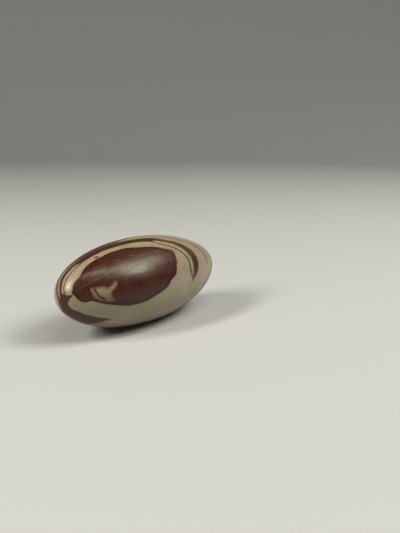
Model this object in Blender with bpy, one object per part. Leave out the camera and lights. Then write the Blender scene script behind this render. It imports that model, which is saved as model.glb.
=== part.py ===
"""Shiva lingam stone: a water-worn, hand-polished, egg-shaped stone of banded chert.

Metres, +Z up. The long axis runs along X, with the blunter end at -X. The stone lies on a
small flat spot at its lowest point. The origin is on the ground, under the middle of the
stone.
"""
import math

import bmesh
import bpy
from mathutils import Matrix, Vector

# Real sizes
LENGTH = 0.102
WIDTH = 0.045
HEIGHT = 0.044
# How deep the worn resting spot cuts into the full egg shape
SEAT_DEPTH = 0.00035

# Departures from a plain ellipsoid
TAPER = -0.04        # girth lost from the middle to the +X end, and gained at the -X end
LEANNESS = -0.03     # girth lost towards both ends
END_LIFT = 0.0009    # how far the two tips sit above the middle of the height
END_SWAY = -0.0005   # how far the two tips sit off the middle of the width, along Y

# Broad, shallow swells left by hand polishing: share of the girth, lobes around the long
# axis, lobes along it, and where the pattern starts
SWELLS = (
    (0.0040, 3, 1.0, 0.6),
    (0.0030, 2, -2.0, 2.1),
    (0.0022, 4, 3.0, 4.0),
)

# Splits of the starting sphere's faces: 5 gives about 5000 triangles
FINENESS = 5
# Edges shorter than this are closed up where the resting spot cuts the skin
SHORTEST_EDGE = 0.0001

STONE_COLOUR = (0.29, 0.165, 0.105, 1.0)
STONE_ROUGHNESS = 0.30


def clear_scene():
    for thing in list(bpy.data.objects):
        bpy.data.objects.remove(thing, do_unlink=True)


def girth(along, around):
    """Share of the full width and height at `along` (-1 to 1) and `around` (radians, 0 up)."""
    swell = 0.0
    for share, lobes_around, lobes_along, start in SWELLS:
        swell += share * math.sin(lobes_around * around + math.pi * lobes_along * along + start)
    section = math.sqrt(max(0.0, 1.0 - along * along))
    return section * (1.0 + TAPER * along + LEANNESS * along ** 2 + swell)


def skin_point(along, around):
    """Point of the skin, measured from the middle of the full egg shape."""
    size = girth(along, around)
    return Vector((
        LENGTH / 2 * along,
        END_SWAY * along ** 2 + WIDTH / 2 * size * math.sin(around),
        END_LIFT * along ** 2 + HEIGHT / 2 * size * math.cos(around),
    ))


def shape_sphere_into_egg(bm):
    """Turn a unit sphere with its poles on X into the stone's skin."""
    for vert in bm.verts:
        along = max(-1.0, min(1.0, vert.co.x))
        around = math.atan2(vert.co.y, vert.co.z)
        vert.co = skin_point(along, around)


def cut_resting_spot(bm):
    """Wear the lowest point flat, and close the cut with one face."""
    lowest = min(vert.co.z for vert in bm.verts)
    bmesh.ops.bisect_plane(
        bm, geom=bm.verts[:] + bm.edges[:] + bm.faces[:],
        plane_co=(0.0, 0.0, lowest + SEAT_DEPTH), plane_no=(0.0, 0.0, 1.0), clear_inner=True,
    )
    bmesh.ops.dissolve_degenerate(bm, dist=SHORTEST_EDGE, edges=bm.edges[:])
    rim = [edge for edge in bm.edges if edge.is_boundary]
    bmesh.ops.holes_fill(bm, edges=rim, sides=0)


def stand_on_origin(bm):
    """Move the mesh so that its box is centred on X and Y and stands on the ground."""
    low = Vector([min(vert.co[axis] for vert in bm.verts) for axis in range(3)])
    high = Vector([max(vert.co[axis] for vert in bm.verts) for axis in range(3)])
    middle = (low + high) / 2
    bmesh.ops.translate(bm, verts=bm.verts[:], vec=(-middle.x, -middle.y, -low.z))


def stone_material():
    material = bpy.data.materials.new("polished_chert")
    material.use_nodes = True
    shader = material.node_tree.nodes["Principled BSDF"]
    shader.inputs["Base Color"].default_value = STONE_COLOUR
    shader.inputs["Roughness"].default_value = STONE_ROUGHNESS
    shader.inputs["Metallic"].default_value = 0.0
    return material


def make_stone():
    bm = bmesh.new()
    poles_on_x = Matrix.Rotation(math.radians(90), 4, "Y")
    bmesh.ops.create_icosphere(bm, subdivisions=FINENESS, radius=1.0, matrix=poles_on_x)
    shape_sphere_into_egg(bm)
    cut_resting_spot(bm)
    stand_on_origin(bm)
    bmesh.ops.recalc_face_normals(bm, faces=bm.faces[:])
    mesh = bpy.data.meshes.new("stone")
    bm.to_mesh(mesh)
    bm.free()
    mesh.shade_smooth()
    mesh.materials.append(stone_material())
    stone = bpy.data.objects.new("stone", mesh)
    bpy.context.scene.collection.objects.link(stone)
    return stone


clear_scene()
make_stone()
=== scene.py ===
"""Looks of the shiva lingam stone: a polished, egg-shaped river stone of banded chert.

Lengths named _MM are millimetres and all others are metres. The bands are beds that were laid
down flat and are cut by the stone's round skin. They face BED_FACING, and "depth" is how far a
point lies below the bed that carries the big red lens.
"""
import math

import bmesh
import bpy
import numpy as np
from mathutils import Matrix, Vector, noise


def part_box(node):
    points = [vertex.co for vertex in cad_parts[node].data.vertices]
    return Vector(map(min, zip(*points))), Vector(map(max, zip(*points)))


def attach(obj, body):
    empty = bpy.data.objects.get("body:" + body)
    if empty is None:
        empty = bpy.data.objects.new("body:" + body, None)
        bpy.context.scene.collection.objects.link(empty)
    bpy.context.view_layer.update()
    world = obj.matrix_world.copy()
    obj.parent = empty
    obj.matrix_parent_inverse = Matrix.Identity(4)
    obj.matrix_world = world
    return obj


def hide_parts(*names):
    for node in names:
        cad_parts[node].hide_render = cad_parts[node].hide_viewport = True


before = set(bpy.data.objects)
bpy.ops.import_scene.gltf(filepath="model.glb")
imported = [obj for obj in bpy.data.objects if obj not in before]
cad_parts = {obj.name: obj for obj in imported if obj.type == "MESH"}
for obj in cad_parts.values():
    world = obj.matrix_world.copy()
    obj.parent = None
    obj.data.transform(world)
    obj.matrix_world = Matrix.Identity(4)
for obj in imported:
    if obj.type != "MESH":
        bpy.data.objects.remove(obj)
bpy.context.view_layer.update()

MM = 0.001

# The egg shape, as in the solid. Each swell is a share of the girth, lobes around the long
# axis, lobes along it, and where the pattern starts, in radians.
LENGTH = 0.102
WIDTH = 0.045
HEIGHT = 0.044
TAPER = -0.04
LEANNESS = -0.03
END_LIFT = 0.0009
END_SWAY = -0.0005
SWELLS = (
    (0.0040, 3, 1.0, 0.6),
    (0.0030, 2, -2.0, 2.1),
    (0.0022, 4, 3.0, 4.0),
)

# The skin's grid: squares along the stone and across a quarter of its girth
CELLS_ALONG = 200
CELLS_ACROSS = 88

# Relief that is too fine for the solid: height, size and seed of each set of soft ripples
RIPPLES_MM = ((0.045, 11.0, 1), (0.014, 3.2, 2))
# How far smooth noise is moved for each step of its seed
NOISE_SHIFT = (17.3, -9.1, 5.7)

# The beds
BED_FACING = (-14.6, 29.0)      # azimuth and elevation in degrees; azimuth 0 is -Y, 90 is +X
LENS_OUT_MM = 19.9              # from the egg's middle out to the lens's lowest bed
LENS_MIDDLE_MM = (-14.5, -2.2)  # along and up the lens's face
LENS_HALF_MM = (28.5, 13.5)

# Where each layer starts, as (angle, depth in mm) round the lens: 0 is its right end, 90 its
# top, 180 its left end and 270 its bottom. A later layer covers an earlier one.
LAYER_STARTS = {
    "cream_ring": (
        (0, -0.25), (8, -0.3), (15, 0.0), (22, 0.3), (30, 0.75), (36, 1.3), (40, 1.6),
        (45, 1.15), (50, 0.9), (60, 0.55), (66, 0.4), (75, 0.15), (84, 0.45), (91, 0.75),
        (108, 0.65), (120, 0.4), (138, 0.25), (150, -0.05), (164, -0.3), (171, 0.25),
        (178, 0.75), (185, 0.9), (189, 1.1), (193, 1.5), (196, 1.1), (206, 1.05),
        (211, 0.85), (215, 0.5), (219, -0.85), (228, -0.95), (240, -0.8), (249, -0.55),
        (261, 0.05), (275, 0.05), (296, -0.35), (317, -0.25), (330, -0.65), (345, -0.25),
    ),
    "olive_line": (
        (0, 3.3), (20, 3.0), (35, 2.8), (45, 2.65), (53, 2.35), (60, 2.55), (66, 3.2),
        (78, 5.0), (122, 5.0), (131, 3.1), (138, 2.85), (150, 3.2), (157, 3.15),
        (164, 3.5), (178, 3.65), (187, 3.6), (192, 3.3), (200, 6.8), (330, 6.8),
    ),
    "pink_cream": (
        (0, 3.8), (20, 3.5), (35, 3.3), (45, 3.15), (53, 2.85), (60, 3.1), (66, 3.9),
        (78, 5.6), (122, 5.6), (131, 4.0), (138, 3.65), (150, 3.75), (157, 3.7),
        (164, 4.1), (178, 4.2), (187, 4.2), (192, 4.1), (200, 7.4), (330, 7.4),
    ),
    "red_band": (
        (0, 4.6), (20, 4.5), (35, 4.5), (47, 4.6), (56, 4.3), (61, 4.3), (66, 3.3),
        (72, 3.25), (80, 3.0), (90, 2.85), (108, 3.1), (114, 2.9), (120, 3.05), (131, 2.85),
        (135, 3.6), (139, 4.7), (150, 5.05), (164, 5.4), (174, 5.1), (186, 5.0),
        (189, 4.4), (191, 3.6), (194, 2.6), (195.6, 0.9), (196.8, 0.9), (198, 2.0), (200, 2.9),
        (203, 4.1), (207, 4.95), (214, 5.3), (222, 4.8), (234, 4.9), (246, 5.3),
        (256, 5.8), (300, 6.6), (335, 6.0),
    ),
    "outer_cream": (
        (0, 6.6), (20, 6.7), (35, 6.8), (46, 6.6), (55, 6.05), (62, 6.85), (72, 6.6),
        (84, 6.4), (96, 7.1), (112, 7.3), (128, 7.0), (138, 6.5), (150, 7.3), (158, 7.4),
        (171, 6.6), (180, 6.15), (188, 6.2), (192, 6.8), (196, 8.6), (203, 10.6),
        (214, 12.5), (236, 12.5), (243, 9.5), (249, 6.2), (256, 5.0), (268, 4.7),
        (310, 4.9), (335, 5.8),
    ),
    "upper_line": (
        (0, 12.6), (20, 11.4), (30, 10.7), (36, 10.3), (46, 9.0), (54, 8.6), (62, 8.8),
        (70, 10.0), (84, 14.0), (330, 14.0),
    ),
    "upper_cream": (
        (0, 13.2), (20, 12.0), (30, 11.3), (36, 10.9), (46, 9.7), (54, 9.3), (62, 9.2),
        (70, 10.1), (84, 14.1), (330, 14.1),
    ),
    "red_cap": (
        (0, 17.0), (66, 17.0), (76, 11.5), (84, 8.9), (96, 8.2), (112, 8.1), (128, 8.2),
        (138, 8.5), (150, 9.4), (157, 9.5), (164, 8.8), (171, 8.15), (185, 7.4),
        (192, 7.4), (200, 8.5), (214, 11.5), (236, 12.0), (250, 17.0), (300, 17.0),
    ),
    "rim_cream": (
        (0, 17.0), (70, 17.0), (90, 14.0), (140, 13.0), (157, 11.7), (164, 10.6),
        (172, 9.9), (180, 9.1), (192, 9.0), (198, 9.5), (202, 10.2), (206, 11.4),
        (211, 12.9), (217, 12.2), (222, 12.4), (232, 13.6), (250, 14.5), (300, 17.0),
    ),
    "deep_beds": (
        (0, 12.4), (60, 12.6), (110, 13.0), (180, 13.4), (211, 14.6), (235, 14.4), (270, 12.6),
    ),
}
# How much of the outer cream is stained brown, by angle round the lens
STAIN = (
    (40, 0.0), (78, 0.05), (86, 0.35), (94, 0.85), (112, 0.95), (128, 0.8), (138, 0.6),
    (146, 0.2), (154, 0.05), (176, 0.1), (190, 0.4), (215, 0.7), (245, 0.3), (262, 0.0),
)

# Below them the beds run right through the stone: depth at which each starts, and its colour
DEEP_BEDS_MM = (
    (12.0, "cream"), (16.6, "red"), (18.3, "pale"), (22.1, "olive"), (22.4, "cream"),
    (25.0, "tan"), (25.3, "pale"), (27.2, "red"), (30.4, "pink"), (30.9, "red"),
    (33.8, "pale"), (36.1, "olive"), (36.4, "cream"), (38.2, "red"), (40.4, "cream"),
)
# The deep beds are laid out from the lens down to this depth
DEEPEST_MM = 46.0
# Each red bed has a dark margin where it starts, and a rosy blush just past its end
MARGIN_MM = 0.45
BLUSH_MM = 0.55
# How much of the patterned cream is mixed into the plain colour of a deep bed
DEEP_CREAM_SHARE = 0.5
# The beds are a little uneven everywhere, and gently folded deep down: height, size and seed
UNEVENNESS_MM = (0.07, 5.0, 5)
FOLDS_MM = ((2.2, 24.0, 6), (0.7, 8.0, 7))
FOLDS_START_MM = 8.0
FOLDS_GROW_OVER_MM = 14.0

# Marks on the lens's face, in mm along and up it. The island is pale stone inside the red.
ISLAND_MM = (
    (-37.7, -5.6), (-36.8, -5.3), (-34.4, -5.5), (-31.1, -5.8), (-30.2, -6.7),
    (-29.1, -6.3), (-27.4, -5.3), (-26.0, -4.4), (-25.0, -4.5), (-25.1, -5.9),
    (-26.4, -7.7), (-28.0, -8.6), (-28.5, -10.4), (-27.9, -11.6), (-27.0, -12.6),
    (-29.2, -12.8), (-33.5, -11.7), (-36.1, -10.1), (-37.3, -7.8),
)
# Each stroke: half its width, then the points it runs through
STROKES_MM = {
    # A soft brownish streak near the lens's left end
    "tan_streak": (
        (0.60, ((-38.9, 0.9), (-36.9, 1.5), (-31.4, 1.5), (-29.0, 1.8))),
    ),
    "hairlines": (
        (0.12, ((-41.9, -4.4), (-37.9, -3.0), (-33.7, -2.1), (-25.9, 0.4))),
        (0.09, ((-38.0, -2.0), (-34.1, -1.9), (-26.0, 0.9))),
        (0.05, ((-24.0, 3.4), (-6.0, 7.3))),
        (0.09, ((8.6, 8.4), (10.9, 7.7), (13.3, 6.2))),
    ),
    # A brown line that curves through the island
    "island_line": (
        (0.52, ((-35.9, -6.2), (-35.1, -8.2), (-34.1, -9.8), (-31.8, -11.4))),
    ),
    "flecks": (
        (0.10, ((-29.3, 6.9), (-28.6, 7.2))),
        (0.10, ((-28.4, 5.5), (-27.8, 5.6))),
        (0.13, ((-23.6, 6.1), (-20.3, 5.4))),
        (0.18, ((-14.6, 7.2), (-12.4, 7.0))),
        (0.16, ((0.0, 8.7), (0.6, 7.1), (1.9, 7.9))),
        (0.16, ((1.9, 7.9), (3.3, 8.7))),
        (0.14, ((1.9, 6.2), (2.9, 5.6))),
        (0.09, ((4.4, 7.6), (6.2, 5.9), (7.4, 5.6))),
    ),
}
# How softly each mark's edge fades, in mm, and how strongly the mark shows
MARK_EDGES = {
    "tan_streak": (0.9, 0.50),
    "hairlines": (0.14, 1.0),
    "island": (0.45, 1.0),
    "island_line": (0.35, 0.90),
    "flecks": (0.12, 0.42),
}
# The marks lie above this depth, on the lens
MARKS_DEEPEST_MM = 4.0
# Pits in the skin: along and up the lens's face, length, width and depth. They lie along the
# bedding, on the lens's side of the stone, and have painted shade inside.
PITS_MM = (
    (-29.2, 9.8, 2.10, 1.10, 0.28),
    (-13.4, 14.3, 0.55, 0.45, 0.10),
    (20.6, -5.6, 0.80, 0.45, 0.14),
    (-41.0, 4.3, 0.60, 0.40, 0.09),
    (6.0, -18.0, 0.90, 0.50, 0.12),
)
PITS_DEEPEST_MM = 14.0
# Painted shade in the pits: where it starts and where it is darkest, as shares of a pit's half
# size, and how strongly at both
PIT_PAINTED_SHADE = (1.15, 0.70, 0.0, 0.95)
# Marks and pits end over this much depth, on either side of their deepest
CUT_OFF_MM = 0.5
# Further than any mark or pit reaches, in mm or in half sizes of a pit
FAR_AWAY = 50.0

# Colours, as linear red, green and blue
COLOURS = {
    "cream": (0.300, 0.236, 0.188),
    "pale": (0.370, 0.306, 0.252),
    "greenish": (0.252, 0.220, 0.142),
    "dusky": (0.192, 0.140, 0.098),
    "pink": (0.345, 0.208, 0.160),
    "rose": (0.258, 0.140, 0.100),
    "olive": (0.078, 0.046, 0.020),
    "brown": (0.088, 0.046, 0.034),
    "tan": (0.165, 0.101, 0.047),
    "island_pale": (0.222, 0.182, 0.118),
    # The island's lower side: a browner tone, darkened further as painted shade
    "island_shaded_brown": (0.135, 0.086, 0.042),
    "island_edge": (0.163, 0.087, 0.055),
    "red": (0.045, 0.0088, 0.0047),
    "red_rosy": (0.078, 0.0165, 0.011),
    "red_brown": (0.049, 0.0148, 0.0056),
    "red_dark": (0.016, 0.0046, 0.0024),
}
# Half the width over which one layer turns into the next, and how far its edge wavers in all
EDGE_MM = 0.13
WOBBLE_MM = 0.5
# Share of that wavering in the island, its line and the tan streak
MARK_WOBBLE = 0.6
# Some layers have a soft margin where they start: its reach, the share of that reach where it
# is at full strength, and the strength of the red band's
CREAM_RING_MARGIN_MM = 1.1
RED_BAND_MARGIN_MM = 0.9
OUTER_CREAM_MARGIN_MM = 1.2
FULL_MARGIN_SHARE = 0.35
RED_BAND_MARGIN_STRENGTH = 0.75

# Patterns in the stone: lumps per mm, steps of finer detail, and how strong each finer step is.
# The first are the same in all directions.
EVEN_PATTERNS = {
    "clouds": (0.09, 3.0, 0.5),
    "mottle": (0.35, 4.0, 0.6),
    "grain": (2.6, 3.0, 0.6),
    "specks": (1.7, 2.0, 0.4),
    "unevenness": (1.1, 3.0, 0.6),
    "haze": (0.8, 4.0, 0.65),
    "fine_bumps": (4.5, 3.0, 0.6),
}
# These are drawn out along the beds: a length along them counts for this share of itself
BED_PATTERNS = {
    "streaks": (1.6, 4.0, 0.6),
    "layering": (0.55, 2.0, 0.5),
}
BED_SQUEEZE = 0.10
# These are drawn out along the stone in the same way, as it was polished lengthwise
POLISH_PATTERNS = {
    "hand_lines": (1.3, 4.0, 0.65),
    "broad_lines": (0.45, 2.0, 0.5),
}
POLISH_SQUEEZE = 0.035

# Where each thing shows: the pattern or field that it goes by, the values of that at which it
# starts and is full, and its strength at both
FADES = {
    # Cream
    "greenish_clouds": ("clouds", 0.42, 0.62, 0.0, 1.0),
    "pale_blotches": ("mottle", 0.50, 0.75, 0.0, 0.45),
    "dusky_streaks": ("streaks", 0.52, 0.80, 0.0, 0.42),
    "thin_lines": ("off_line", 0.012, 0.004, 0.0, 0.42),
    "thin_line_gaps": ("mottle", 0.42, 0.58, 0.0, 1.0),
    "tan_specks": ("specks", 0.71, 0.76, 0.0, 0.5),
    # Red
    "rosy_blotches": ("mottle", 0.48, 0.74, 0.0, 0.8),
    "brown_clouds": ("clouds", 0.46, 0.64, 0.0, 0.8),
    "dark_streaks": ("streaks", 0.50, 0.78, 0.0, 0.65),
    "rosy_streaks": ("streaks", 0.42, 0.26, 0.0, 0.35),
    # Lens and layers
    "lens_rim": ("cream_ring", -1.2, -0.35, 0.0, 1.0),
    "lens_rim_low_side": ("up_face", 1.0, -9.0, 0.35, 0.95),
    "ring_blush": ("grain", 0.35, 0.65, 0.15, 0.65),
    # Greenish and darker along the ring's lower side, partly its own tint and partly painted
    # shade
    "ring_low_side_tint_and_shade": ("up_face", -9.0, -15.0, 0.0, 0.7),
    "pink_left_end": ("along_face", -12.0, -25.0, 0.0, 1.0),
    "pink_blotches": ("mottle", 0.7, 0.4, 0.5, 1.0),
    "red_band_right_end": ("along_face", 1.0, 9.0, 0.0, 0.75),
    "red_band_upper_side": ("up_face", 3.0, 7.0, 0.0, 1.0),
    "blush_after_red": ("red_band", 0.1, 0.6, 0.0, 0.5),
    "cap_inside": ("rim_cream", -0.9, -1.9, 0.0, 1.0),
    # Marks
    "hairline_gaps": ("mottle", 0.30, 0.60, 0.20, 0.55),
    "island_inside": ("island", -0.455, -1.3, 0.0, 1.0),
    # The island's lower side is browner and darker, partly its own tone and partly painted shade
    "island_painted_shade": ("up_face", -7.5, -12.0, 0.0, 0.85),
    # Shade of the colour, and roughness of the skin
    "shade": ("grain", 0.2, 0.8, 0.90, 1.08),
    "roughness": ("gloss", 1.20, 1.80, 0.26, 0.40),
}
STONE_IOR = 1.42
BUMP_MM = 0.04
BUMP_STRENGTH = 0.25
BROAD_LINES_BUMP = 4.0

# The camera, fitted to the photograph's frame. It faces the egg's middle from this azimuth and
# elevation, and shows it at this pixel.
PHOTO_SIZE = (400, 533)
FOCAL_PIXELS = 600.0
SENSOR_MM = 36.0
CAMERA_FACING = (-43.0, 15.0)
CAMERA_ROLL = 1.0
CAMERA_DISTANCE = 0.3106
MIDDLE_PIXEL = (140.6, 279.1)
NEAREST_SEEN = 0.01

# The stage is a shallow bowl: a flat floor that sweeps up into a wall all round
FLOOR_RADIUS = 1.2
SWEEP_RADIUS = 0.9
SWEEP_STEPS = 16
STAGE_SIDES = 96
MERGE_DISTANCE = 0.0001
FLOOR_COLOUR = (0.450, 0.443, 0.490)
FLOOR_ROUGHNESS = 0.9

# Soft rectangles of light: name, azimuth and elevation, distance, length and width, watts, and
# the direction that the length runs along
LIGHTS = (
    ("key_light", (38.0, 48.0), 1.3, (0.50, 0.60), 13.8, (0.90, 0.02, -0.46)),
    ("long_light", (-2.0, 70.0), 1.3, (0.90, 0.32), 4.6, (1.0, -0.3, -0.2)),
    ("side_light", (-107.0, 38.0), 1.2, (0.62, 0.20), 13.0, (0.46, 0.24, 0.50)),
)
LIGHT_COLOUR = (1.0, 1.0, 0.80)
SURROUND_COLOUR = (1.0, 0.985, 0.96)
SURROUND_STRENGTH = 0.09


def direction(facing):
    """Unit vector at (azimuth, elevation) in degrees. Azimuth 0 is -Y and 90 is +X."""
    azimuth, elevation = map(math.radians, facing)
    return Vector((
        math.sin(azimuth) * math.cos(elevation),
        -math.cos(azimuth) * math.cos(elevation),
        math.sin(elevation),
    ))


BED_UP = direction(BED_FACING)
FACE_RIGHT = Vector((0.0, 0.0, 1.0)).cross(BED_UP).normalized()
FACE_UP = BED_UP.cross(FACE_RIGHT)


# Shape

def egg_surface(along, around):
    """Points of the skin, from the egg's middle, for arrays of -1 to 1 and radians (0 up)."""
    swell = np.zeros_like(along)
    for share, lobes_around, lobes_along, start in SWELLS:
        swell += share * np.sin(lobes_around * around + math.pi * lobes_along * along + start)
    section = np.sqrt(np.clip(1.0 - along ** 2, 0.0, None))
    girth = section * (1.0 + TAPER * along + LEANNESS * along ** 2 + swell)
    return np.stack((
        LENGTH / 2 * along,
        END_SWAY * along ** 2 + WIDTH / 2 * girth * np.sin(around),
        END_LIFT * along ** 2 + HEIGHT / 2 * girth * np.cos(around),
    ), axis=1)


def gridded_sphere():
    """A cube cut into a fine grid, finer along X, and blown up into a unit sphere."""
    bm = bmesh.new()
    bmesh.ops.create_cube(bm, size=2.0)
    for axis, cells in enumerate((CELLS_ALONG, CELLS_ACROSS, CELLS_ACROSS)):
        # Only the edges that still span the cube along this axis are cut
        spans = [
            edge for edge in bm.edges
            if abs(edge.verts[0].co[axis] - edge.verts[1].co[axis]) > 1.0
        ]
        bmesh.ops.subdivide_edges(bm, edges=spans, cuts=cells - 1, use_grid_fill=True)
    mesh = bpy.data.meshes.new("polished_stone")
    bm.to_mesh(mesh)
    bm.free()
    cube = np.tan(vertex_positions(mesh) * math.pi / 4)
    return mesh, cube / np.linalg.norm(cube, axis=1, keepdims=True)


def vertex_positions(mesh):
    flat = np.zeros(len(mesh.vertices) * 3, dtype=np.float32)
    mesh.vertices.foreach_get("co", flat)
    return flat.reshape(-1, 3).astype(float)


def smooth_noise(points_mm, size_mm, seed):
    """Smooth noise of about -1 to 1, in lumps of the given size."""
    shift = Vector([step * seed for step in NOISE_SHIFT])
    return np.array([noise.noise(Vector(point) / size_mm + shift) for point in points_mm])


def bed_coordinates(points_mm):
    """Along and up the lens's face, and depth below it."""
    along = points_mm @ np.array(FACE_RIGHT)
    up = points_mm @ np.array(FACE_UP)
    depth = LENS_OUT_MM - points_mm @ np.array(BED_UP)
    return along, up, depth


def pit_reach(along, up, depth, pit):
    """Distance from a pit's middle as a share of its half size, on the lens's side."""
    middle_along, middle_up, length, width, _ = pit
    reach = np.hypot((along - middle_along) / (length / 2), (up - middle_up) / (width / 2))
    return np.where(depth < PITS_DEEPEST_MM, reach, FAR_AWAY)


def relief_mm(points_mm):
    """How far the skin stands off the egg shape: soft ripples, less the pits."""
    height = np.zeros(len(points_mm))
    for rise, size, seed in RIPPLES_MM:
        height += rise * smooth_noise(points_mm, size, seed)
    along, up, depth = bed_coordinates(points_mm)
    for pit in PITS_MM:
        pit_depth = pit[-1]
        height -= pit_depth * np.exp(-pit_reach(along, up, depth, pit) ** 2)
    return height


def make_skin():
    """The stone's fine mesh, and its vertices in mm from the egg's middle."""
    mesh, ball = gridded_sphere()
    along = np.clip(ball[:, 0], -1.0, 1.0)
    around = np.arctan2(ball[:, 1], ball[:, 2])
    egg = egg_surface(along, around)
    outward = egg / np.array((LENGTH, WIDTH, HEIGHT)) ** 2
    outward /= np.linalg.norm(outward, axis=1, keepdims=True)
    egg_mm = egg / MM
    skin = egg + outward * relief_mm(egg_mm)[:, None] * MM
    low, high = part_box("stone")
    # The egg's own top and sides say where its middle is inside the solid's box
    middle = np.array((
        (low.x + high.x) / 2 - (egg[:, 0].max() + egg[:, 0].min()) / 2,
        (low.y + high.y) / 2 - (egg[:, 1].max() + egg[:, 1].min()) / 2,
        high.z - egg[:, 2].max(),
    ))
    placed = skin + middle
    placed[:, 2] = np.maximum(placed[:, 2], low.z)
    mesh.vertices.foreach_set("co", placed.astype(np.float32).ravel())
    mesh.update()
    mesh.shade_smooth()
    return mesh, egg_mm, Vector(middle)


# Markings

def round_curve(angles, knots):
    """A closed smooth curve through (degrees, value) knots, in order, read at given angles."""
    at, value = np.array(knots, dtype=float).T
    at = np.concatenate((at[-2:] - 360, at, at[:2] + 360))
    value = np.concatenate((value[-2:], value, value[:2]))
    chord = np.diff(value) / np.diff(at)
    slope = np.zeros_like(value)
    # Harmonic mean where the curve keeps its way, and level at peaks, so it never overshoots
    same_way = chord[:-1] * chord[1:] > 0
    safe = np.where(same_way, chord[:-1] + chord[1:], 1.0)
    slope[1:-1] = np.where(same_way, 2 * chord[:-1] * chord[1:] / safe, 0.0)
    angles = np.mod(angles, 360.0)
    i = np.clip(np.searchsorted(at, angles, side="right") - 1, 0, len(at) - 2)
    span = at[i + 1] - at[i]
    t = (angles - at[i]) / span
    return (
        (2 * t ** 3 - 3 * t ** 2 + 1) * value[i] + (t ** 3 - 2 * t ** 2 + t) * span * slope[i]
        + (3 * t ** 2 - 2 * t ** 3) * value[i + 1] + (t ** 3 - t ** 2) * span * slope[i + 1]
    )


def distance_to_line(x, y, points):
    """Distance from each (x, y) to a line through points."""
    nearest = np.full(len(x), FAR_AWAY)
    for (ax, ay), (bx, by) in zip(points[:-1], points[1:]):
        dx, dy = bx - ax, by - ay
        t = np.clip(((x - ax) * dx + (y - ay) * dy) / (dx * dx + dy * dy), 0.0, 1.0)
        nearest = np.minimum(nearest, np.hypot(x - ax - t * dx, y - ay - t * dy))
    return nearest


def distance_outside(x, y, outline):
    """Distance to a closed outline, negative inside it."""
    ring = list(outline) + [outline[0]]
    inside = np.zeros(len(x), dtype=bool)
    for (ax, ay), (bx, by) in zip(ring[:-1], ring[1:]):
        crosses = (ay > y) != (by > y)
        rise = by - ay if by != ay else 1.0
        inside ^= crosses & (x < ax + (y - ay) / rise * (bx - ax))
    distance = distance_to_line(x, y, ring)
    return np.where(inside, -distance, distance)


def marking_fields(points_mm):
    """Every field that the material reads, by name, with one value for each vertex."""
    along, up, depth = bed_coordinates(points_mm)
    folded = np.clip((depth - FOLDS_START_MM) / FOLDS_GROW_OVER_MM, 0.0, 1.0)
    rise, size, seed = UNEVENNESS_MM
    depth = depth + rise * smooth_noise(points_mm, size, seed)
    for rise, size, seed in FOLDS_MM:
        depth = depth + folded * rise * smooth_noise(points_mm, size, seed)
    angle = np.degrees(np.arctan2(
        (up - LENS_MIDDLE_MM[1]) / LENS_HALF_MM[1], (along - LENS_MIDDLE_MM[0]) / LENS_HALF_MM[0],
    ))
    fields = {name: depth - round_curve(angle, knots) for name, knots in LAYER_STARTS.items()}
    fields["stain"] = round_curve(angle, STAIN)
    behind = np.where(depth > MARKS_DEEPEST_MM, FAR_AWAY, 0.0)
    fields["island"] = distance_outside(along, up, ISLAND_MM) + behind
    fields["along_face"] = along
    fields["up_face"] = up
    fields["depth"] = depth
    return fields


def store_fields(mesh, fields):
    for name, values in fields.items():
        attribute = mesh.attributes.new(name, "FLOAT", "POINT")
        attribute.data.foreach_set("value", values.astype(np.float32))


# Material

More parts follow.
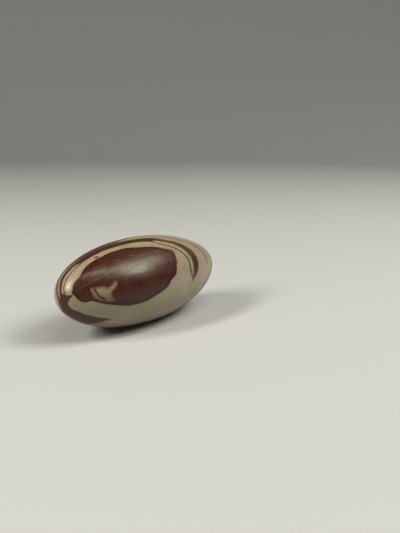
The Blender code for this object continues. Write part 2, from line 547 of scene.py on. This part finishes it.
class NodeNet:
    """Adds nodes to one material. All but `put` return an output that other nodes can read."""

    def __init__(self, material):
        self.nodes = material.node_tree.nodes
        self.links = material.node_tree.links
        self.patterns = {}

    def put(self, socket, value):
        """Link an output to a socket, or set a plain value on it."""
        if isinstance(value, bpy.types.NodeSocket):
            self.links.new(value, socket)
        else:
            socket.default_value = value

    def field(self, name):
        """A field that is stored on the mesh."""
        node = self.nodes.new("ShaderNodeAttribute")
        node.attribute_name = name
        return node.outputs["Fac"]

    def math(self, operation, a, b=0.0, c=0.0):
        node = self.nodes.new("ShaderNodeMath")
        node.operation = operation
        for socket, value in zip(node.inputs, (a, b, c)):
            self.put(socket, value)
        return node.outputs[0]

    def fade(self, value, start, end, low=0.0, high=1.0):
        """Smoothly from low at start to high at end."""
        node = self.nodes.new("ShaderNodeMapRange")
        node.interpolation_type = "SMOOTHSTEP"
        for name, number in (
            ("Value", value), ("From Min", start), ("From Max", end), ("To Min", low),
            ("To Max", high),
        ):
            self.put(node.inputs[name], number)
        return node.outputs["Result"]

    def shows(self, name):
        """How strongly something in FADES shows."""
        source, *numbers = FADES[name]
        value = self.patterns[source] if source in self.patterns else self.field(source)
        return self.fade(value, *numbers)

    def mix(self, factor, a, b, blend="MIX"):
        """Colour a, turning to b as the factor goes from 0 to 1."""
        node = self.nodes.new("ShaderNodeMix")
        node.data_type = "RGBA"
        node.blend_type = blend
        self.put(node.inputs["Factor"], factor)
        self.put(node.inputs["A"], a if isinstance(a, bpy.types.NodeSocket) else (*a, 1.0))
        self.put(node.inputs["B"], b if isinstance(b, bpy.types.NodeSocket) else (*b, 1.0))
        return node.outputs["Result"]

    def vectors(self, operation, *values, result="Vector"):
        node = self.nodes.new("ShaderNodeVectorMath")
        node.operation = operation
        for socket, value in zip(node.inputs, values):
            self.put(socket, value)
        return node.outputs[result]

    def vector(self, x, y, z):
        node = self.nodes.new("ShaderNodeCombineXYZ")
        for socket, value in zip(node.inputs, (x, y, z)):
            self.put(socket, value)
        return node.outputs["Vector"]

    def distance_to_stroke(self, place, start, end):
        """Distance from a place to the straight line between two points."""
        run = Vector(end) - Vector(start)
        off = self.vectors("SUBTRACT", place, (*start, 0.0))
        share = self.vectors(
            "DOT_PRODUCT", off, (*run / run.length_squared, 0.0), result="Value",
        )
        share = self.math("MINIMUM", self.math("MAXIMUM", share, 0.0), 1.0)
        off = self.vectors("MULTIPLY_ADD", share, (*-run, 0.0), off)
        return self.vectors("LENGTH", off, result="Value")

    def strokes(self, place, lines):
        """Distance outside the nearest of several strokes."""
        nearest = FAR_AWAY
        for half_width, points in lines:
            for start, end in zip(points[:-1], points[1:]):
                distance = self.distance_to_stroke(place, start, end)
                outside = self.math("SUBTRACT", distance, half_width)
                nearest = self.math("MINIMUM", nearest, outside)
        return nearest

    def nearest_pit(self, place):
        """Distance from the nearest pit's middle, as a share of its half size."""
        nearest = FAR_AWAY
        for along, up, length, width, _ in PITS_MM:
            off = self.vectors("SUBTRACT", place, (along, up, 0.0))
            off = self.vectors("MULTIPLY", off, (2 / length, 2 / width, 1.0))
            reach = self.vectors("LENGTH", off, result="Value")
            nearest = self.math("MINIMUM", nearest, reach)
        return nearest

    def noise(self, place, scale, detail, roughness):
        node = self.nodes.new("ShaderNodeTexNoise")
        self.put(node.inputs["Vector"], place)
        node.inputs["Scale"].default_value = scale
        node.inputs["Detail"].default_value = detail
        node.inputs["Roughness"].default_value = roughness
        return node.outputs["Fac"]

    def ramp(self, factor, stops):
        """Hard steps of colour. stops is (position 0 to 1, colour)."""
        node = self.nodes.new("ShaderNodeValToRGB")
        node.color_ramp.interpolation = "CONSTANT"
        elements = node.color_ramp.elements
        elements.remove(elements[1])
        elements[0].position = stops[0][0]
        elements[0].color = (*stops[0][1], 1.0)
        for position, colour in stops[1:]:
            elements.new(position).color = (*colour, 1.0)
        self.put(node.inputs["Fac"], factor)
        return node.outputs["Color"]


def add_patterns(net):
    """Give the net the patterns that every part of the stone shares."""
    place = net.nodes.new("ShaderNodeTexCoord").outputs["Object"]
    place_mm = net.vectors("MULTIPLY", place, (1.0 / MM,) * 3)
    in_beds = net.vector(
        net.math("MULTIPLY", net.field("along_face"), BED_SQUEEZE),
        net.math("MULTIPLY", net.field("up_face"), BED_SQUEEZE),
        net.field("depth"),
    )
    apart = net.nodes.new("ShaderNodeSeparateXYZ")
    net.put(apart.inputs[0], place_mm)
    along_stone = net.vector(
        net.math("MULTIPLY", apart.outputs["X"], POLISH_SQUEEZE),
        apart.outputs["Y"],
        apart.outputs["Z"],
    )
    patterns = net.patterns
    for where, settings_by_name in (
        (place_mm, EVEN_PATTERNS), (in_beds, BED_PATTERNS), (along_stone, POLISH_PATTERNS),
    ):
        for name, settings in settings_by_name.items():
            patterns[name] = net.noise(where, *settings)
    patterns["wobble"] = net.math(
        "MULTIPLY_ADD", patterns["unevenness"], WOBBLE_MM, -WOBBLE_MM / 2,
    )
    # A thin line shows wherever the layering passes its middle value
    patterns["off_line"] = net.math(
        "ABSOLUTE", net.math("SUBTRACT", patterns["layering"], 0.5),
    )
    # Polished by hand along the stone, so the gloss has faint long lines
    gloss = net.math("ADD", patterns["haze"], patterns["hand_lines"])
    patterns["gloss"] = net.math("ADD", gloss, patterns["broad_lines"])


def cream_colour(net):
    """Warm cream that turns greenish in clouds, with thin lines along the beds and specks."""
    cream = net.mix(net.shows("greenish_clouds"), COLOURS["cream"], COLOURS["greenish"])
    cream = net.mix(net.shows("pale_blotches"), cream, COLOURS["pale"])
    cream = net.mix(net.shows("dusky_streaks"), cream, COLOURS["dusky"])
    lines = net.math("MULTIPLY", net.shows("thin_lines"), net.shows("thin_line_gaps"))
    cream = net.mix(lines, cream, COLOURS["olive"])
    return net.mix(net.shows("tan_specks"), cream, COLOURS["tan"])


def red_colour(net):
    """Maroon, from brown to rosy in blotches, with darker streaks along the beds."""
    red = net.mix(net.shows("rosy_blotches"), COLOURS["red"], COLOURS["red_rosy"])
    red = net.mix(net.shows("brown_clouds"), red, COLOURS["red_brown"])
    red = net.mix(net.shows("dark_streaks"), red, COLOURS["red_dark"])
    return net.mix(net.shows("rosy_streaks"), red, COLOURS["red_rosy"])


def deep_colour(net, cream, red):
    """The beds that run right through the stone, under the layers round the lens."""
    black = (0.0, 0.0, 0.0)
    white = (1.0, 1.0, 1.0)
    steps = []
    redness = [(0.0, black)]
    kind_above = "cream"
    for start, kind in DEEP_BEDS_MM:
        if kind == "red":
            steps.append((start, COLOURS["red_dark"]))
            steps.append((start + MARGIN_MM, COLOURS["red"]))
            redness.append((start + MARGIN_MM, white))
        elif kind_above == "red":
            steps.append((start, COLOURS["rose"]))
            steps.append((start + BLUSH_MM, COLOURS[kind]))
            redness.append((start, black))
        else:
            steps.append((start, COLOURS[kind]))
        kind_above = kind
    depth = net.math("ADD", net.field("depth"), net.patterns["wobble"])
    share = net.math("DIVIDE", depth, DEEPEST_MM)
    plain = net.ramp(share, [(start / DEEPEST_MM, colour) for start, colour in steps])
    is_red = net.ramp(share, [(start / DEEPEST_MM, level) for start, level in redness])
    return net.mix(is_red, net.mix(DEEP_CREAM_SHARE, plain, cream), red)


def layered_colour(net):
    """Colour of the lens, of the layers that ring it and of the beds below."""
    cream = cream_colour(net)
    red = red_colour(net)

    def margin(name, reach, colour, own_colour, strength):
        """A layer's own colour, turning to another one close to where the layer starts."""
        near = net.math("ABSOLUTE", net.math("ADD", net.field(name), net.patterns["wobble"]))
        return net.mix(
            net.fade(near, reach, FULL_MARGIN_SHARE * reach, 0.0, strength),
            own_colour, colour,
        )

    # The lens has a dark brown rim, strongest along its lower side
    rim = net.math("MULTIPLY", net.shows("lens_rim"), net.shows("lens_rim_low_side"))
    lens = net.mix(rim, red, COLOURS["red_dark"])
    # The cream ring is rosy where it starts; its lower side has a greenish tint and painted shade
    ring_cream = net.mix(net.shows("ring_low_side_tint_and_shade"), cream, COLOURS["greenish"])
    ring_cream = margin(
        "cream_ring", CREAM_RING_MARGIN_MM, COLOURS["rose"], ring_cream,
        net.shows("ring_blush"),
    )
    # The second cream layer is pink only round the lens's left end
    pinkness = net.math("MULTIPLY", net.shows("pink_left_end"), net.shows("pink_blotches"))
    pink = net.mix(pinkness, cream, COLOURS["pink"])
    # The red band browns out towards its upper right end
    browned = net.math(
        "MULTIPLY", net.shows("red_band_right_end"), net.shows("red_band_upper_side"),
    )
    red_band = net.mix(browned, red, COLOURS["olive"])
    red_band = margin(
        "red_band", RED_BAND_MARGIN_MM, COLOURS["olive"], red_band, RED_BAND_MARGIN_STRENGTH,
    )
    # The outer cream is rosy where it follows the red band, and stained brown in places
    outer_cream = margin(
        "outer_cream", OUTER_CREAM_MARGIN_MM, COLOURS["rose"], cream,
        net.shows("blush_after_red"),
    )
    outer_cream = net.mix(net.field("stain"), outer_cream, COLOURS["brown"])
    # The red cap is brown where it is thin, and where it meets the rim's cream
    cap = net.mix(net.shows("cap_inside"), COLOURS["olive"], red)

    colour = lens
    for name, layer in (
        ("cream_ring", ring_cream),
        ("olive_line", COLOURS["olive"]),
        ("pink_cream", pink),
        ("red_band", red_band),
        ("outer_cream", outer_cream),
        ("upper_line", COLOURS["olive"]),
        ("upper_cream", cream),
        ("red_cap", cap),
        ("rim_cream", cream),
        ("deep_beds", deep_colour(net, cream, red)),
    ):
        past_start = net.math("ADD", net.field(name), net.patterns["wobble"])
        colour = net.mix(net.fade(past_start, -EDGE_MM, EDGE_MM), colour, layer)
    return colour


def marked_colour(net, colour):
    """The marks on the lens's face and the painted shade in the pits, over the layers."""
    def face_above(deepest):
        """Along and up the face, with everything deeper put far away."""
        behind = net.fade(
            net.field("depth"), deepest - CUT_OFF_MM, deepest + CUT_OFF_MM, 0.0, FAR_AWAY,
        )
        return net.vector(net.field("along_face"), net.field("up_face"), behind)

    def wavering(distance):
        return net.math("MULTIPLY_ADD", net.patterns["wobble"], MARK_WOBBLE, distance)

    def within(distance, name):
        """How strongly a mark shows at a distance outside it."""
        softness, strength = MARK_EDGES[name]
        return net.fade(distance, softness, -softness, 0.0, strength)

    face = face_above(MARKS_DEEPEST_MM)
    outside = {name: net.strokes(face, lines) for name, lines in STROKES_MM.items()}
    streak = within(wavering(outside["tan_streak"]), "tan_streak")
    colour = net.mix(streak, colour, COLOURS["tan"])
    hairlines = within(outside["hairlines"], "hairlines")
    hairlines = net.math("MULTIPLY", hairlines, net.shows("hairline_gaps"))
    colour = net.mix(hairlines, colour, COLOURS["dusky"])
    island = net.mix(net.shows("island_inside"), COLOURS["island_edge"], COLOURS["island_pale"])
    # Towards its lower side the island turns browner and darker: partly its own tone, partly
    # painted shade
    island = net.mix(net.shows("island_painted_shade"), island, COLOURS["island_shaded_brown"])
    colour = net.mix(within(wavering(net.field("island")), "island"), colour, island)
    line = within(wavering(outside["island_line"]), "island_line")
    colour = net.mix(line, colour, COLOURS["red_brown"])
    colour = net.mix(within(outside["flecks"], "flecks"), colour, COLOURS["rose"])
    # Painted shade: each pit is darkened towards its middle, as the hollow's shade
    pit_shade = net.fade(net.nearest_pit(face_above(PITS_DEEPEST_MM)), *PIT_PAINTED_SHADE)
    return net.mix(pit_shade, colour, COLOURS["red_dark"])


def stone_material():
    material = bpy.data.materials.new("banded_chert")
    material.use_nodes = True
    net = NodeNet(material)
    add_patterns(net)
    shader = net.nodes["Principled BSDF"]
    colour = marked_colour(net, layered_colour(net))
    shade = net.shows("shade")
    colour = net.mix(1.0, colour, net.vector(shade, shade, shade), "MULTIPLY")
    net.put(shader.inputs["Base Color"], colour)
    net.put(shader.inputs["Roughness"], net.shows("roughness"))
    shader.inputs["IOR"].default_value = STONE_IOR
    shader.inputs["Metallic"].default_value = 0.0

    bump = net.nodes.new("ShaderNodeBump")
    bump.inputs["Strength"].default_value = BUMP_STRENGTH
    bump.inputs["Distance"].default_value = BUMP_MM * MM
    height = net.math("ADD", net.patterns["hand_lines"], net.patterns["fine_bumps"])
    height = net.math("MULTIPLY_ADD", net.patterns["broad_lines"], BROAD_LINES_BUMP, height)
    net.put(bump.inputs["Height"], height)
    net.put(shader.inputs["Normal"], bump.outputs["Normal"])
    return material


def make_stone():
    mesh, egg_mm, middle = make_skin()
    store_fields(mesh, marking_fields(egg_mm))
    mesh.materials.append(stone_material())
    stone = bpy.data.objects.new("polished_stone", mesh)
    bpy.context.scene.collection.objects.link(stone)
    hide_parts("stone")
    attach(stone, "root")
    return middle


# Setting

def plain_material(name, colour, roughness):
    material = bpy.data.materials.new(name)
    material.use_nodes = True
    shader = material.node_tree.nodes["Principled BSDF"]
    shader.inputs["Base Color"].default_value = (*colour, 1.0)
    shader.inputs["Roughness"].default_value = roughness
    return material


def make_stage():
    """A floor that curves up into a wall all round, so that no edge or corner shows."""
    profile = [(0.0, 0.0)]
    for step in range(SWEEP_STEPS + 1):
        turn = math.pi / 2 * step / SWEEP_STEPS
        profile.append((
            FLOOR_RADIUS + SWEEP_RADIUS * math.sin(turn), SWEEP_RADIUS * (1.0 - math.cos(turn)),
        ))
    bm = bmesh.new()
    verts = [bm.verts.new((x, 0.0, z)) for x, z in profile]
    edges = [bm.edges.new(pair) for pair in zip(verts[:-1], verts[1:])]
    bmesh.ops.spin(
        bm, geom=verts + edges, cent=(0.0, 0.0, 0.0), axis=(0.0, 0.0, 1.0),
        angle=2 * math.pi, steps=STAGE_SIDES, use_merge=True,
    )
    bmesh.ops.remove_doubles(bm, verts=bm.verts[:], dist=MERGE_DISTANCE)
    mesh = bpy.data.meshes.new("stage")
    bm.to_mesh(mesh)
    bm.free()
    mesh.shade_smooth()
    mesh.materials.append(plain_material("pale_paper", FLOOR_COLOUR, FLOOR_ROUGHNESS))
    stage = bpy.data.objects.new("stage", mesh)
    bpy.context.scene.collection.objects.link(stage)


def make_light(target, name, facing, distance, size, watts, long_way):
    """A soft rectangle of light that faces the stone."""
    data = bpy.data.lights.new(name, "AREA")
    data.shape = "RECTANGLE"
    data.size, data.size_y = size
    data.energy = watts
    data.color = LIGHT_COLOUR
    lamp = bpy.data.objects.new(name, data)
    away = direction(facing)
    across = away.cross(Vector(long_way)).normalized()
    axes = Matrix((across.cross(away), across, away)).transposed()
    lamp.matrix_world = Matrix.Translation(target + away * distance) @ axes.to_4x4()
    bpy.context.scene.collection.objects.link(lamp)


def make_lights(target):
    for light in LIGHTS:
        make_light(target, *light)
    world = bpy.data.worlds.new("soft_surround")
    world.use_nodes = True
    background = world.node_tree.nodes["Background"]
    background.inputs["Color"].default_value = (*SURROUND_COLOUR, 1.0)
    background.inputs["Strength"].default_value = SURROUND_STRENGTH
    bpy.context.scene.world = world


def make_camera(target):
    """Looks so that the egg's middle falls on its own pixel of the photograph."""
    data = bpy.data.cameras.new("camera")
    data.sensor_width = SENSOR_MM
    data.lens = SENSOR_MM * FOCAL_PIXELS / max(PHOTO_SIZE)
    data.clip_start = NEAREST_SEEN
    camera = bpy.data.objects.new("camera", data)
    away = direction(CAMERA_FACING)
    straight = away.to_track_quat("Z", "Y").to_matrix()
    roll = Matrix.Rotation(math.radians(-CAMERA_ROLL), 3, "Z")
    to_middle = Vector((
        (MIDDLE_PIXEL[0] - PHOTO_SIZE[0] / 2) / FOCAL_PIXELS,
        -(MIDDLE_PIXEL[1] - PHOTO_SIZE[1] / 2) / FOCAL_PIXELS,
        -1.0,
    )).normalized()
    turn = to_middle.rotation_difference(Vector((0.0, 0.0, -1.0))).to_matrix()
    camera.matrix_world = Matrix.Translation(target + away * CAMERA_DISTANCE) @ (
        straight @ roll @ turn
    ).to_4x4()
    bpy.context.scene.collection.objects.link(camera)
    bpy.context.scene.camera = camera


def show_true_colours():
    """The picture has no film curve, so that colours come out as they are."""
    bpy.context.scene.view_settings.view_transform = "Standard"


stone_middle = make_stone()
make_stage()
make_lights(stone_middle)
make_camera(stone_middle)
show_true_colours()
